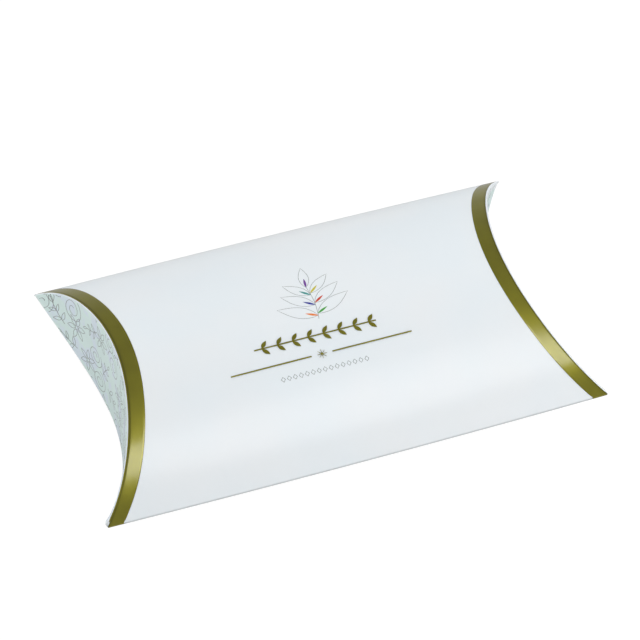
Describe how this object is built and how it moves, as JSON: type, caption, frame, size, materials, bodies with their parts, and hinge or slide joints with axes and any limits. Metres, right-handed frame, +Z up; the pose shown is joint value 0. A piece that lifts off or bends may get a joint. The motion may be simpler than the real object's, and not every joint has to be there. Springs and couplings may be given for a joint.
{
  "type": "pillow gift box",
  "caption": "Pillow-shaped card gift box for tea, with curved end flaps that fold open, gold foil along its creases and a small foil ornament on top.",
  "frame": {"origin": "under the middle of the box, on the surface that it rests on", "axes": "+X along the long folds, +Y from the front fold to the back fold, +Z up"},
  "size_m": [0.2005, 0.121, 0.0439],
  "materials": {
    "white_card": "white coated card, satin gloss",
    "printed_card": "pale blue-grey printed card, satin",
    "plain_card": "uncoated white card, matt",
    "gold_foil": "hot-stamped foil with a gold lacquer, glossy",
    "glue": "dried clear glue"
  },
  "bodies": {
    "sleeve": {"top_panel": "white_card", "bottom_panel": "white_card", "seam_flap": "plain_card", "seam_glue": "glue", "top_band_left": "gold_foil", "top_band_right": "gold_foil", "bottom_band_left": "gold_foil", "bottom_band_right": "gold_foil", "foil_rule_left": "gold_foil", "foil_rule_right": "gold_foil", "foil_star": "gold_foil", "foil_garland": "gold_foil"},
    "left_outer_flap": {"outer_flap_left": "printed_card"},
    "left_inner_flap": {"inner_flap_left": "plain_card"},
    "right_outer_flap": {"outer_flap_right": "printed_card"},
    "right_inner_flap": {"inner_flap_right": "plain_card"}
  },
  "joints": [
    {"name": "left_outer_crease", "type": "hinge", "parent": "sleeve", "child": "left_outer_flap", "pos_m": [-0.0787, 0, 0.04388], "axis": [0, 1, 0], "range_deg": [0, 90]},
    {"name": "left_inner_crease", "type": "hinge", "parent": "sleeve", "child": "left_inner_flap", "pos_m": [-0.0779, 0, 0], "axis": [0, -1, 0], "range_deg": [0, 90]},
    {"name": "right_outer_crease", "type": "hinge", "parent": "sleeve", "child": "right_outer_flap", "pos_m": [0.0787, 0, 0.04388], "axis": [0, -1, 0], "range_deg": [0, 90]},
    {"name": "right_inner_crease", "type": "hinge", "parent": "sleeve", "child": "right_inner_flap", "pos_m": [0.0779, 0, 0], "axis": [0, 1, 0], "range_deg": [0, 90]}
  ],
  "couplings": [
    {"joint": "left_inner_crease", "follows": "left_outer_crease", "ratio": 1},
    {"joint": "right_inner_crease", "follows": "right_outer_crease", "ratio": 1}
  ]
}
